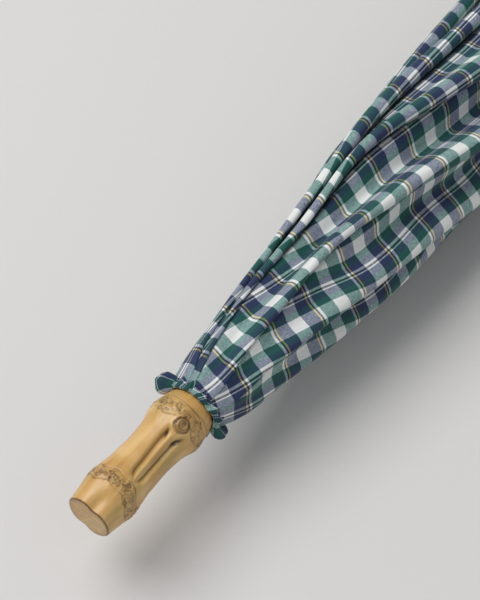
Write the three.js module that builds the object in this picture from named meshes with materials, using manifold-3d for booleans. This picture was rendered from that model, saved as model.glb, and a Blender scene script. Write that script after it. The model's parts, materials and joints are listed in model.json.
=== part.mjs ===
// Stick umbrella, folded: a bamboo-root ferrule, a wooden stick with its sliding runner, a frame
// of eight ribs and stretchers, a cloth canopy folded round the frame, and a bamboo handle.
// Millimetres, +Z up. The stick lies along +X, from the ferrule's cut end at the origin to the
// handle, and the folded canopy rests on its flattened underside.
import * as THREE from 'three';
import { mergeVertices } from 'three/addons/utils/BufferGeometryUtils.js';
import Module from 'manifold-3d';

// Driving dimensions
const FOLDS = 8; // ribs, stretchers and gores
const STEP = (2 * Math.PI) / FOLDS;
const FIRST_RIB = STEP / 2; // ribs stand between the axes, so one gore lies flat underneath
const GAP = 0.35; // between pieces that touch on the real object
const ROUND = 24; // sides of a turned piece

const TOTAL_LENGTH = 800;
const SHAFT_R = 5.5;
const BORE_R = 5.8;
const SHAFT_START = 30;
const SHAFT_END = 782;

const FERRULE_LENGTH = 66;
const ROSETTE_START = 63;
const ROSETTE_END = 73;
const CANOPY_START = 74;
const NOTCH_START = 70;
const NOTCH_END = 84;
const NOTCH_R = 10.5;

const PIVOT_X = 78; // rib pivots in the top notch
const PIVOT_R = 9;
const SLOT_HALF = 1.2; // half width of the slots that hold the ribs and stretchers
const RIB_LENGTH = 474;
const RIB_BOW = 8;
const RIB_HALF = 1.3;
const RIB_WALL = 0.5;
const RIB_CHANNEL_START = 8;
const RIB_CHANNEL_END = 462;
const TIP_R = 2.2;

const ARM = 165; // from a rib's pivot to its stretcher's joint, and the stretcher's own length
const JOINT_R = 12.7; // the stretcher's joint, from the stick's axis
const REACH = 2 * Math.sqrt(ARM * ARM - (JOINT_R - PIVOT_R) ** 2); // notch pivot to runner pivot
const JOINT_X = PIVOT_X + REACH / 2;
const RUNNER_X = PIVOT_X + REACH;
const CROWN_HALF = 4; // half length of the runner's slotted crown
const CROWN_R = 10.4;
const SLEEVE_R = 7.4;
const SLEEVE_LENGTH = 47;
const STRETCHER_END_R = 1.2;

const CATCH_R = 6.6;
const KEYWAY_R = 6.95;
const CATCH_HALF = 0.8;
const CATCH_LENGTH = 16;
const UPPER_CATCH_X = 205;
const LOWER_CATCH_X = RUNNER_X + 30;
const STOP_PIN_X = 148;
const STOP_PIN_HALF = 7;

const COLLAR_START = 642;
const HANDLE_START = 650;

const REST_Z = -39.5; // the flat underside
const EDGE_HALF = 1.6; // half width of the cloth strip sewn along each rib
const CLOTH_OVER_RIB = 3.2; // canopy's inner face above the rib's centre line

const STRAP_START = 400;
const STRAP_END = 520;
const STRAP_HALF = 9;
const STRAP_T = 1.4;
const STRAP_RIB = 1; // index of the rib it is sewn over
const SNAP_X = 413;
const SNAP_R = 5;

const material = (color, roughness, metalness = 0) =>
  new THREE.MeshStandardMaterial({ color, roughness, metalness });
const FINISH = {
  root: () => material(0xcda066, 0.4),
  stick: () => material(0x8a5a34, 0.45),
  handle: () => material(0xc79a5e, 0.4),
  cloth: () => material(0x3f5f66, 0.9),
  edge: () => material(0x33505a, 0.9),
  steel: () => material(0x23252a, 0.45, 0.8),
  plated: () => material(0xb9bcc0, 0.3, 1),
  moulding: () => material(0x1d1e21, 0.5),
  brass: () => material(0xb08d4a, 0.35, 1),
};

// Solids and booleans
const wasm = await Module();
wasm.setup();

/** Signed volume of an indexed mesh, positive when its faces point out. */
function signedVolume(points, triangles) {
  const a = new THREE.Vector3();
  const b = new THREE.Vector3();
  const c = new THREE.Vector3();
  let volume = 0;
  for (let k = 0; k < triangles.length; k += 3) {
    a.fromArray(points, 3 * triangles[k]);
    b.fromArray(points, 3 * triangles[k + 1]);
    c.fromArray(points, 3 * triangles[k + 2]);
    volume += a.dot(b.cross(c)) / 6;
  }
  return volume;
}

/** A closed geometry as a manifold solid, with its doubled vertices merged and its faces out. */
function solid(geometry) {
  const bare = geometry.clone();
  for (const name of Object.keys(bare.attributes)) {
    if (name !== 'position') bare.deleteAttribute(name);
  }
  const merged = mergeVertices(bare, 1e-4);
  const points = merged.attributes.position.array;
  const triangles = [];
  for (let k = 0; k < merged.index.count; k += 3) {
    const corners = [0, 1, 2].map((j) => merged.index.getX(k + j));
    if (new Set(corners).size === 3) triangles.push(...corners);
  }
  if (signedVolume(points, triangles) < 0) triangles.reverse();
  return new wasm.Manifold(
    new wasm.Mesh({ numProp: 3, vertProperties: points, triVerts: new Uint32Array(triangles) }),
  );
}

/** A manifold solid as a geometry. */
function geometryOf(body) {
  const mesh = body.getMesh();
  const geometry = new THREE.BufferGeometry();
  geometry.setAttribute('position', new THREE.BufferAttribute(mesh.vertProperties, 3));
  geometry.setIndex(new THREE.BufferAttribute(mesh.triVerts, 1));
  geometry.computeVertexNormals();
  return geometry;
}

const cut = (body, tools) => tools.reduce((left, tool) => left.subtract(tool), body);
const join = (bodies) => bodies.reduce((all, body) => all.add(body));

/** A piece turned on the X axis from a profile of [x, radius] points. */
function turned(profile, sides = ROUND) {
  const points = profile.map(([x, r]) => new THREE.Vector2(r, x));
  return solid(new THREE.LatheGeometry(points, sides).rotateZ(-Math.PI / 2));
}

/** A tube's profile, closed on itself. */
const ring = (x0, x1, inner, outer) => [
  [x0, inner],
  [x0, outer],
  [x1, outer],
  [x1, inner],
  [x0, inner],
];

/** A box between two corners. */
function block([x0, y0, z0], [x1, y1, z1]) {
  const box = new THREE.BoxGeometry(x1 - x0, y1 - y0, z1 - z0);
  return solid(box.translate((x0 + x1) / 2, (y0 + y1) / 2, (z0 + z1) / 2));
}

/** A plate in the local XY plane, centred on it, with its thickness along Z. */
function plate(shape, thickness, curveSegments = 6) {
  const options = { depth: thickness, bevelEnabled: false, curveSegments };
  return solid(new THREE.ExtrudeGeometry(shape, options).translate(0, 0, -thickness / 2));
}

/** A pin along Z through [x, y]. */
function pin(x, y, radius, half, sides = 12) {
  const rod = new THREE.CylinderGeometry(radius, radius, 2 * half, sides);
  return solid(rod.rotateX(Math.PI / 2).translate(x, y, 0));
}

/** A solid carried through stations 0..count: outline(k) gives [u, v] points, place(k, u, v) a point. */
function lofted(count, outline, place) {
  const sides = outline(0).length;
  const points = [];
  for (let k = 0; k <= count; k += 1) {
    for (const [u, v] of outline(k)) points.push(...place(k, u, v));
  }
  const triangles = [];
  for (let k = 0; k < count; k += 1) {
    for (let j = 0; j < sides; j += 1) {
      const a = k * sides + j;
      const b = k * sides + ((j + 1) % sides);
      triangles.push(a, b, b + sides, a, b + sides, a + sides);
    }
  }
  const flat = outline(0).map(([u, v]) => new THREE.Vector2(u, v));
  const turnedLeft = THREE.ShapeUtils.area(flat) > 0;
  const last = count * sides;
  for (const face of THREE.ShapeUtils.triangulateShape(flat, [])) {
    const [a, b, c] = turnedLeft ? face : [face[0], face[2], face[1]];
    triangles.push(a, c, b, last + a, last + b, last + c);
  }
  if (!turnedLeft) {
    for (let k = 0; k < 6 * count * sides; k += 3) {
      [triangles[k + 1], triangles[k + 2]] = [triangles[k + 2], triangles[k + 1]];
    }
  }
  const geometry = new THREE.BufferGeometry();
  geometry.setAttribute('position', new THREE.Float32BufferAttribute(points, 3));
  geometry.setIndex(triangles);
  return solid(geometry);
}

const group = new THREE.Group();

/** Adds a named piece, turned about the stick's axis. */
function add(name, body, finish, turn = 0) {
  const mesh = new THREE.Mesh(geometryOf(body), finish());
  mesh.name = name;
  mesh.rotation.x = turn;
  group.add(mesh);
}

const ribTurn = (index) => FIRST_RIB + index * STEP;
const eachFold = (make) => Array.from({ length: FOLDS }, (_, index) => index).forEach(make);

/** Radius of a rib's centre line at s along it: straight at both ends, bowed between them. */
function ribRadius(s) {
  const u = Math.min(Math.max(s / RIB_LENGTH, 0), 1);
  return PIVOT_R + 4 * RIB_BOW * u * (1 - u);
}

/** Radius of the folded canopy at s from the crown, through a smooth curve of its girth. */
const girth = new THREE.CatmullRomCurve3(
  [
    [-4, 16], [30, 21], [70, 26], [110, 31], [150, 34.6], [200, 37.6],
    [260, 40], [330, 42], [400, 42.5], [474, 44],
  ].map(([s, r]) => new THREE.Vector3(s, r, 0)),
);
function canopyRadius(s) {
  let low = 0;
  let high = 1;
  for (let k = 0; k < 30; k += 1) {
    const middle = (low + high) / 2;
    if (girth.getPoint(middle).x < s) low = middle;
    else high = middle;
  }
  return girth.getPoint(low).y;
}

// Bamboo-root ferrule: a cut end, two root nodes with a waist between them, and a domed shoulder
function ferrule() {
  const outside = [
    [0, 0], [0, 9.5], [1, 10.2], [5, 10.9], [9, 11.6], [12, 12.2], [16, 12.2], [20, 11.7],
    [25, 11], [31, 10.6], [38, 10.4], [44, 10.8], [49, 11.6], [53, 12.8], [58, 12.8], [61, 12.2],
    [64, 11.5], [FERRULE_LENGTH, 10.9],
  ];
  return turned([...outside, [FERRULE_LENGTH, BORE_R], [SHAFT_START - 1, BORE_R], [SHAFT_START - 1, 0]]);
}

/** Eight radial slots between x0 and x1, open outwards from radius bottom. */
function slots(x0, x1, bottom) {
  const tool = new THREE.BoxGeometry(x1 - x0, 20, 2 * SLOT_HALF);
  tool.translate((x0 + x1) / 2, bottom + 10, 0);
  return Array.from({ length: FOLDS }, (_, index) => solid(tool.clone().rotateX(ribTurn(index))));
}

function topNotch() {
  const groove = turned(ring(PIVOT_X - 0.9, PIVOT_X + 0.9, 8.1, NOTCH_R + 1));
  const body = turned(ring(NOTCH_START, NOTCH_END, BORE_R, NOTCH_R));
  return cut(body, [groove, ...slots(NOTCH_START - 1, NOTCH_END + 1, 6.7)]);
}

/** The wire that all the ribs hang on, a ring in the notch's groove. */
function notchWire() {
  const wire = 0.45;
  const sides = 6;
  const corner = (k) => [
    PIVOT_X + wire * Math.sin((2 * Math.PI * k) / sides),
    PIVOT_R + wire * Math.cos((2 * Math.PI * k) / sides),
  ];
  return turned([...Array.from({ length: sides }, (_, k) => corner(k)), corner(0)]);
}

function runner() {
  const crownEnd = RUNNER_X + CROWN_HALF;
  const end = crownEnd + SLEEVE_LENGTH;
  const outside = turned([
    [RUNNER_X - CROWN_HALF, BORE_R],
    [RUNNER_X - CROWN_HALF, CROWN_R],
    [crownEnd, CROWN_R],
    [crownEnd, SLEEVE_R],
    [end, SLEEVE_R],
    [end, BORE_R],
    [RUNNER_X - CROWN_HALF, BORE_R],
  ]);
  const keyway = block([RUNNER_X - 10, -1.2, 0], [end + 5, 1.2, KEYWAY_R]);
  const window = block([LOWER_CATCH_X - 2, -1.2, 0], [LOWER_CATCH_X + CATCH_LENGTH + 2, 1.2, 9]);
  const crownSlots = slots(RUNNER_X - CROWN_HALF - 1, crownEnd, SLEEVE_R + 0.1);
  return cut(outside, [keyway, window, ...crownSlots]);
}

function shaft() {
  const body = turned([[SHAFT_START, 0], [SHAFT_START, SHAFT_R], [SHAFT_END, SHAFT_R], [SHAFT_END, 0]]);
  const slotFor = (x) => block([x - 1, -1.2, 0.6], [x + CATCH_LENGTH + 1, 1.2, 8]);
  const pinHole = pin(STOP_PIN_X, 0, 1.15, 9).rotate([90, 0, 0]);
  return cut(body, [slotFor(UPPER_CATCH_X), slotFor(LOWER_CATCH_X), pinHole]);
}

/** The pin across the stick that the open runner stops against. */
function stopPin() {
  return pin(0, 0, 0.8, STOP_PIN_HALF).rotate([90, 0, 0]).translate([STOP_PIN_X, 0, 0]);
}

/** A sprung catch: a leaf with a sloped nose that stands out of the stick. */
function catchLeaf(x) {
  const side = new THREE.Shape();
  side.moveTo(x, 2);
  side.lineTo(x + CATCH_LENGTH, 2);
  side.lineTo(x + CATCH_LENGTH, 4.8);
  side.lineTo(x + CATCH_LENGTH - 3, CATCH_R);
  side.lineTo(x + 4, CATCH_R);
  side.lineTo(x, 4.8);
  side.closePath();
  return plate(side, 2 * CATCH_HALF);
}

/** A rib along local X, with Y outwards: channel, eye at the notch and ear for the stretcher. */
function rib() {
  const h = RIB_HALF;
  const w = h - RIB_WALL;
  const outline = [[-h, -h], [-w, -h], [-w, w], [w, w], [w, -h], [h, -h], [h, h], [-h, h]];
  const count = 10;
  const span = RIB_CHANNEL_END - RIB_CHANNEL_START;
  const channel = lofted(count, () => outline, (k, u, v) => {
    const s = RIB_CHANNEL_START + (span * k) / count;
    return [PIVOT_X + s, ribRadius(s) + v, u];
  });
  const eye = new THREE.Shape();
  const eyeEnd = RIB_CHANNEL_START + 5;
  eye.moveTo(PIVOT_X + eyeEnd, ribRadius(eyeEnd) + 1);
  eye.lineTo(PIVOT_X, PIVOT_R + h);
  eye.absarc(PIVOT_X, PIVOT_R, h, Math.PI / 2, (3 * Math.PI) / 2, false);
  eye.lineTo(PIVOT_X + eyeEnd, ribRadius(eyeEnd) - h);
  eye.closePath();
  const eyeHole = pin(PIVOT_X, PIVOT_R, 0.85, 3);
  const web = ribRadius(ARM) + h - 0.3;
  const ear = new THREE.Shape();
  ear.moveTo(JOINT_X + 2, web);
  ear.lineTo(JOINT_X - 2, web);
  ear.lineTo(JOINT_X - 1.5, JOINT_R);
  ear.absarc(JOINT_X, JOINT_R, 1.5, Math.PI, 2 * Math.PI, false);
  ear.closePath();
  const rivet = pin(JOINT_X, JOINT_R, 0.6, 2.2);
  return join([cut(join([channel, plate(eye, 2 * w + 0.1)]), [eyeHole]), plate(ear, 1.2), rivet]);
}

/** A stretcher along local X from the rib's ear to the runner: fork, bar and flat runner end. */
function stretcher() {
  const fall = Math.atan2(JOINT_R - PIVOT_R, REACH / 2);
  const turn = (body) => body.rotate([0, 0, (-fall * 180) / Math.PI]).translate([JOINT_X, JOINT_R, 0]);
  const forkEnd = 7;
  const thin = ARM - 30;
  const fork = new THREE.Shape();
  fork.moveTo(forkEnd, 1.1);
  fork.lineTo(0, 1.4);
  fork.absarc(0, 0, 1.4, Math.PI / 2, (3 * Math.PI) / 2, false);
  fork.lineTo(forkEnd, -1.1);
  fork.closePath();
  const cheeks = cut(plate(fork, 3.5), [
    block([-3, -3, -0.95], [forkEnd - 2, 3, 0.95]),
    pin(0, 0, 0.95, 4),
  ]);
  const bar = block([forkEnd - 1, -1.1, -1.4], [thin, 1.1, 1.4]);
  const blade = new THREE.Shape();
  blade.moveTo(thin - 1, -0.9);
  blade.lineTo(ARM, -STRETCHER_END_R);
  blade.absarc(ARM, 0, STRETCHER_END_R, -Math.PI / 2, Math.PI / 2, false);
  blade.lineTo(thin - 1, 0.9);
  blade.closePath();
  return turn(join([cheeks, bar, cut(plate(blade, 1.6), [pin(ARM, 0, 0.5, 2)])]));
}

function ribTip() {
  const start = PIVOT_X + RIB_CHANNEL_END + GAP;
  const end = PIVOT_X + RIB_LENGTH;
  const profile = [
    [start, 0], [start, 1.6], [start + 6, 1.8], [end - 4, TIP_R], [end - 1, 1.6], [end, 0],
  ];
  return turned(profile, 12).translate([0, ribRadius(RIB_CHANNEL_END), 0]);
}

/** The strip of canopy that is sewn along a rib. */
function goreEdge() {
  const count = 8;
  const first = 14;
  const last = RIB_CHANNEL_END - 2;
  const low = RIB_HALF + GAP;
  const outline = [[-EDGE_HALF, low], [EDGE_HALF, low], [EDGE_HALF, low + 0.7], [-EDGE_HALF, low + 0.7]];
  return lofted(count, () => outline, (k, u, v) => {
    const s = first + ((last - first) * k) / count;
    return [PIVOT_X + s, ribRadius(s) + v, u];
  });
}

/** One folded gore: a sector of the bundle's shell between two ribs, flat where it lies. */
function goreFold(middle) {
  const count = 12;
  const arcs = 4;
  const sAt = (k) => CANOPY_START - PIVOT_X + ((RIB_LENGTH - CANOPY_START + PIVOT_X) * k) / count;
  const outline = (k) => {
    const inner = ribRadius(sAt(k)) + CLOTH_OVER_RIB;
    const outer = canopyRadius(sAt(k));
    const arc = (r, from, to) => Array.from({ length: arcs + 1 }, (_, j) => {
      const half = STEP / 2 - GAP / (2 * r);
      return [r, half * (from + ((to - from) * j) / arcs)];
    });
    return [...arc(inner, 1, -1), ...arc(outer, -1, 1)];
  };
  return lofted(count, outline, (k, r, a) => {
    const y = r * Math.cos(middle + a);
    const z = Math.max(r * Math.sin(middle + a), REST_Z);
    return [PIVOT_X + sAt(k), y, z];
  });
}

/** The tie strap, lying along the bundle over its rib, and its snap. */
function strap() {
  const count = 6;
  const under = (x) => canopyRadius(x - PIVOT_X) + 0.5;
  const outline = [[-STRAP_HALF, 0], [STRAP_HALF, 0], [STRAP_HALF, STRAP_T], [-STRAP_HALF, STRAP_T]];
  return lofted(count, () => outline, (k, u, v) => {
    const x = STRAP_START + ((STRAP_END - STRAP_START) * k) / count;
    return [x, under(x) + v, u];
  });
}

function strapSnap() {
  const low = canopyRadius(SNAP_X - PIVOT_X) + 0.5 + STRAP_T + 0.45;
  const button = new THREE.CylinderGeometry(SNAP_R - 1, SNAP_R, 2, 16);
  return solid(button.translate(SNAP_X, low + 1, 0));
}

function rosette() {
  const inner = 12.3;
  return turned([
    [ROSETTE_START, inner], [ROSETTE_START, 13.6], [ROSETTE_START + 2, 15.2], [68, 16.2],
    [ROSETTE_END - 1.5, 15.6], [ROSETTE_END, 14.4], [ROSETTE_END, inner], [ROSETTE_START, inner],
  ]);
}

/** A straight bamboo handle with two nodes and a flat end, bored for the stick. */
function handle() {
  const node = (x, r) => [[x - 5, r], [x - 1, r + 1.3], [x + 1, r + 1.3], [x + 5, r]];
  return turned([
    [HANDLE_START, BORE_R], [HANDLE_START, 9.6], [HANDLE_START + 4, 10.4],
    ...node(688, 10.6), ...node(744, 11),
    [TOTAL_LENGTH - 9, 11.4], [TOTAL_LENGTH - 2, 11], [TOTAL_LENGTH, 9.4], [TOTAL_LENGTH, 0],
    [SHAFT_END + 1, 0], [SHAFT_END + 1, BORE_R], [HANDLE_START, BORE_R],
  ]);
}

function collar() {
  const end = HANDLE_START - GAP;
  return turned([
    [COLLAR_START, BORE_R], [COLLAR_START, 8.4], [COLLAR_START + 1.5, 9.3], [end - 1, 9.8],
    [end, 9.4], [end, BORE_R], [COLLAR_START, BORE_R],
  ]);
}

add('ferrule', ferrule(), FINISH.root);
add('crown_rosette', rosette(), FINISH.cloth);
add('shaft', shaft(), FINISH.stick);
add('top_notch', topNotch(), FINISH.moulding);
add('notch_wire', notchWire(), FINISH.plated);
add('runner', runner(), FINISH.moulding);
add('runner_stop_pin', stopPin(), FINISH.plated);
add('upper_catch', catchLeaf(UPPER_CATCH_X), FINISH.plated, Math.PI / 2);
add('lower_catch', catchLeaf(LOWER_CATCH_X), FINISH.plated, Math.PI / 2);
add('handle_collar', collar(), FINISH.brass);
add('handle', handle(), FINISH.handle);

const ribBody = rib();
const stretcherBody = stretcher();
const tipBody = ribTip();
const edgeBody = goreEdge();
eachFold((index) => {
  add(`rib_${index + 1}`, ribBody, FINISH.steel, ribTurn(index));
  add(`stretcher_${index + 1}`, stretcherBody, FINISH.steel, ribTurn(index));
  add(`rib_tip_${index + 1}`, tipBody, FINISH.plated, ribTurn(index));
  add(`gore_edge_${index + 1}`, edgeBody, FINISH.edge, ribTurn(index));
  add(`canopy_gore_${index + 1}`, goreFold(ribTurn(index) + STEP / 2), FINISH.cloth);
});
add('tie_strap', strap(), FINISH.cloth, ribTurn(STRAP_RIB));
add('strap_snap', strapSnap(), FINISH.brass, ribTurn(STRAP_RIB));

export default group;
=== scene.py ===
"""Looks of a folded stick umbrella: bamboo ferrule and handle, plaid cloth, frame and studio."""
import json
import logging
import math
from collections.abc import Sequence
from dataclasses import dataclass
from enum import Enum

import bpy
import numpy as np
from mathutils import Matrix, Vector


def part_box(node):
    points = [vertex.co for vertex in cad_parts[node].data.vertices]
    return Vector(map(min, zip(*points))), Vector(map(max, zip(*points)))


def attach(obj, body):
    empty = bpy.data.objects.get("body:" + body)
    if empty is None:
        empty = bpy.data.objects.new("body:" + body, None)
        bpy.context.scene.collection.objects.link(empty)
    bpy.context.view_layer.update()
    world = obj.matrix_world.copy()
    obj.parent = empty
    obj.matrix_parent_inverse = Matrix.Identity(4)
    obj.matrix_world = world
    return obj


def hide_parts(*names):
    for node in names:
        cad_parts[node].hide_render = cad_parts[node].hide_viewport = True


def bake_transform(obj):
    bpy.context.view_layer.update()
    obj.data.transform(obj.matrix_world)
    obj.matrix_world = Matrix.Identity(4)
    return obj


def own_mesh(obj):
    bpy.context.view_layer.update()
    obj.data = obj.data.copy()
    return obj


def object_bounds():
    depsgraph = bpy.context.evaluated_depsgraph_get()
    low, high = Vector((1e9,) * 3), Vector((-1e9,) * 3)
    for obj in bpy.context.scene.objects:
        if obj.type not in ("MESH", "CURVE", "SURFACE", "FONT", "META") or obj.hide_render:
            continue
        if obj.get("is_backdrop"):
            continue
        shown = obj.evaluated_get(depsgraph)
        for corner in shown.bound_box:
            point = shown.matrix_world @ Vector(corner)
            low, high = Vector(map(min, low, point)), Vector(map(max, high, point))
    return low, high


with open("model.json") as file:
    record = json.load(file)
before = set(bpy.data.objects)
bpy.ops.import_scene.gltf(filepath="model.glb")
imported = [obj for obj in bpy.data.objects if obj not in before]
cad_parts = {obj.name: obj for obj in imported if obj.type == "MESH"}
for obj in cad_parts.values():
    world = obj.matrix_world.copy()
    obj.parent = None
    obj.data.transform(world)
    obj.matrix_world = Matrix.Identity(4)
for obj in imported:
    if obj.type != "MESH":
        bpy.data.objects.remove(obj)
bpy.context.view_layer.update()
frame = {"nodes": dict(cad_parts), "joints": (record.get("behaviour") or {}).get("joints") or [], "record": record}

LOG = logging.getLogger("umbrella")
Array = np.ndarray
MM = 0.001
TAU = 2 * math.pi
FOLDS = 8
STEP = TAU / FOLDS


# ---------------------------------------------------------------- facts read from the frame


@dataclass(frozen=True)
class FrameFacts:
    """Places that every sub-assembly shares, in millimetres and radians, read from the frame."""

    pivot_x: float
    pivot_r: float
    rib_length: float
    rib_bow: float
    opening: float
    gore_angle: float
    floor_z: float

    @staticmethod
    def read() -> "FrameFacts":
        """Works the shared places out from the joints and the nodes' boxes.

        Returns:
            The facts.
        """
        joints = {j["name"]: j for j in frame["joints"]}
        hinge, spread = joints["rib_1_hinge"], joints["gore_1_spread"]
        pivot = np.array(hinge["pos_m"]) / MM
        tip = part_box("rib_tip_1")
        return FrameFacts(
            pivot_x=float(pivot[0]),
            pivot_r=float(np.hypot(pivot[1], pivot[2])),
            rib_length=float(tip[1][0] / MM - pivot[0]),
            rib_bow=8.0,
            opening=math.radians(hinge["range_deg"][1]),
            gore_angle=math.radians(spread["range_deg"][1]),
            floor_z=float(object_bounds()[0][2] / MM),
        )

    def rib_azimuth(self, index: int) -> float:
        """Azimuth of rib number index, from 0, about the stick."""
        return STEP / 2 + index * STEP

    def rib_radius(self, s: Array) -> Array:
        """Radius of a rib's centre line: the pivot's radius and a parabola for its bow."""
        u = np.clip(s / self.rib_length, 0, 1)
        return self.pivot_r + 4 * self.rib_bow * u * (1 - u)


# ---------------------------------------------------------------- mathematics


def smooth(t: Array, low: float = 0.0, high: float = 1.0) -> Array:
    """Smoothstep of t between low and high."""
    u = np.clip((np.asarray(t, float) - low) / (high - low), 0, 1)
    return u * u * (3 - 2 * u)


def bell(distance: Array, width: float, power: int = 2) -> Array:
    """A bump of height 1 where distance is 0: exp(-(distance / width) ** power)."""
    return np.exp(-((distance / width) ** power))


def wrapped(angle: Array) -> Array:
    """An angle brought between -pi and pi."""
    return np.mod(angle + math.pi, TAU) - math.pi


def curve(x: Array, points: Sequence[tuple[float, float]]) -> Array:
    """Cubic Hermite curve through points, with the slopes of the chords between neighbours.

    Args:
        x: Where it is wanted.
        points: (x, y) pairs in rising x.

    Returns:
        The curve's height at x, held level past its ends.
    """
    px, py = np.array(points, float).T
    slope = np.gradient(py, px)
    x = np.clip(x, px[0], px[-1])
    k = np.clip(np.searchsorted(px, x, side="right") - 1, 0, len(px) - 2)
    h = px[k + 1] - px[k]
    t = (x - px[k]) / h
    a = (1 + 2 * t) * (1 - t) ** 2
    b = t * (1 - t) ** 2 * h
    c = t * t * (3 - 2 * t)
    d = t * t * (t - 1) * h
    return a * py[k] + b * slope[k] + c * py[k + 1] + d * slope[k + 1]


def waves(t: Array, seed: int, terms: int = 5, base: float = 1.0) -> Array:
    """A smooth random function of t: sines of rising frequency and falling height.

    Args:
        t: Parameter, one turn of the lowest sine each TAU / base.
        seed: Which function.
        terms: Number of sines.
        base: Lowest frequency.

    Returns:
        Values of about -1 to 1.
    """
    rng = np.random.default_rng(seed)
    total, norm = np.zeros_like(np.asarray(t, float)), 0.0
    for k in range(terms):
        height = 0.72**k
        total = total + height * np.sin(base * (k + 1) * t + rng.uniform(0, TAU))
        norm += height * 0.75
    return total / norm


def around(x: Array, radius: Array, azimuth: Array) -> Array:
    """Points at x along the stick, radius from it, at azimuth about it, in metres."""
    return np.stack([x, radius * np.cos(azimuth), radius * np.sin(azimuth)], -1) * MM


# ---------------------------------------------------------------- meshes


class Ends(Enum):
    """How the first and last rows of a grid are closed."""

    OPEN = "open"
    FLAT = "flat"


def surface(
    name: str,
    points: Array,
    around_v: bool = False,
    around_u: bool = False,
    uv: Array | None = None,
    ends: Ends = Ends.OPEN,
    attributes: dict[str, Array] | None = None,
) -> bpy.types.Object:
    """A quad grid as a smooth mesh object.

    Args:
        name: The piece's name.
        points: (nu, nv, 3) points in metres.
        around_v: Whether the last column joins the first.
        around_u: Whether the last row joins the first.
        uv: (nu, nv, 2) map, or with one more column or row where the grid joins.
        ends: Whether a fan closes the first and last rows.
        attributes: Named (nu, nv) values for the material.

    Returns:
        The object, at the origin.
    """
    nu, nv = points.shape[:2]
    rows = np.arange(nu if around_u else nu - 1)
    columns = np.arange(nv if around_v else nv - 1)
    i, j = np.meshgrid(rows, columns, indexing="ij")
    i, j = i.ravel(), j.ravel()
    i1, j1 = (i + 1) % nu, (j + 1) % nv
    quads = np.stack([i * nv + j, i1 * nv + j, i1 * nv + j1, i * nv + j1], 1)
    vertices = points.reshape(-1, 3)
    faces = quads.tolist()
    if ends is Ends.FLAT:
        for row, flip in ((0, False), (nu - 1, True)):
            centre = len(vertices)
            vertices = np.vstack([vertices, points[row].mean(0)])
            ring = row * nv + np.arange(nv)
            pairs = np.stack([np.roll(ring, -1), ring] if flip else [ring, np.roll(ring, -1)], 1)
            faces += [[int(a), int(b), centre] for a, b in pairs[: nv if around_v else nv - 1]]
    mesh = bpy.data.meshes.new(name)
    mesh.from_pydata(vertices.tolist(), [], faces)
    if uv is not None:
        ui, uj = (i + 1 if uv.shape[0] > nu else i1), (j + 1 if uv.shape[1] > nv else j1)
        corners = np.stack([uv[i, j], uv[ui, j], uv[ui, uj], uv[i, uj]], 1).reshape(-1, 2)
        layer = mesh.uv_layers.new(name="cloth")
        flat = np.zeros((len(mesh.loops), 2))
        flat[: len(corners)] = corners
        layer.data.foreach_set("uv", flat.ravel())
    for key, values in (attributes or {}).items():
        layer = mesh.attributes.new(key, "FLOAT", "POINT")
        flat = np.zeros(len(vertices))
        flat[: values.size] = values.ravel()
        layer.data.foreach_set("value", flat)
    mesh.polygons.foreach_set("use_smooth", np.ones(len(mesh.polygons), bool))
    mesh.update()
    made = bpy.data.objects.new(name, mesh)
    bpy.context.collection.objects.link(made)
    return made


def outward(made: bpy.types.Object) -> bpy.types.Object:
    """Turns a closed mesh's faces outwards if its signed volume, the sum of a . (b x c), is negative.

    Args:
        made: The object.

    Returns:
        The same object.
    """
    mesh = made.data
    mesh.calc_loop_triangles()
    corners = np.empty(len(mesh.loop_triangles) * 3, int)
    mesh.loop_triangles.foreach_get("vertices", corners)
    where = np.empty(len(mesh.vertices) * 3)
    mesh.vertices.foreach_get("co", where)
    a, b, c = where.reshape(-1, 3)[corners.reshape(-1, 3)].transpose(1, 0, 2)
    if (a * np.cross(b, c)).sum() < 0:
        mesh.flip_normals()
    return made


def turned(name: str, profile: Array, sides: int = 96, uv_scale: float = 1.0) -> bpy.types.Object:
    """A solid of revolution about the stick from (x, radius) rows; a closed profile makes a ring.

    Args:
        name: The piece's name.
        profile: (n, 2) points in millimetres; a profile that starts and ends on the axis is closed there.
        sides: Number of sides.
        uv_scale: Millimetres of map per millimetre of surface.

    Returns:
        The object, at the origin, with its faces outwards.
    """
    x, r = profile.T
    on_axis = r[0] < 1e-6
    if on_axis:
        x, r = x[1:-1], r[1:-1]
    angle = np.linspace(0, TAU, sides, endpoint=False)
    points = around(x[:, None] + 0 * angle, r[:, None] + 0 * angle, angle[None] + 0 * x[:, None])
    length = np.concatenate([[0], np.cumsum(np.hypot(np.diff(x), np.diff(r)))]) * uv_scale
    v = np.linspace(0, TAU, sides + 1) * r.mean() * uv_scale
    uv = np.stack(np.broadcast_arrays(length[:, None], v[None]), -1)
    made = surface(
        name,
        points,
        around_v=True,
        around_u=not on_axis,
        uv=uv,
        ends=Ends.FLAT if on_axis else Ends.OPEN,
    )
    return outward(made)


def rounded(corners: Sequence[tuple[float, float]], radius: float, steps: int = 4) -> Array:
    """A closed or open profile with its inner corners rounded by arcs of about radius.

    Args:
        corners: (x, r) points; the two ends stay sharp.
        radius: Arc radius, less where a side is short.
        steps: Points in each arc.

    Returns:
        (n, 2) points.
    """
    pts = np.array(corners, float)
    out = [pts[0]]
    for before, here, after in zip(pts[:-2], pts[1:-1], pts[2:]):
        a, b = before - here, after - here
        la, lb = np.hypot(*a), np.hypot(*b)
        cut = min(radius, 0.45 * la, 0.45 * lb)
        start, end = here + a / la * cut, here + b / lb * cut
        t = np.linspace(0, 1, steps + 1)[:, None]
        out += list((1 - t) ** 2 * start + 2 * t * (1 - t) * here + t**2 * end)
    out.append(pts[-1])
    return np.array(out)


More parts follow.
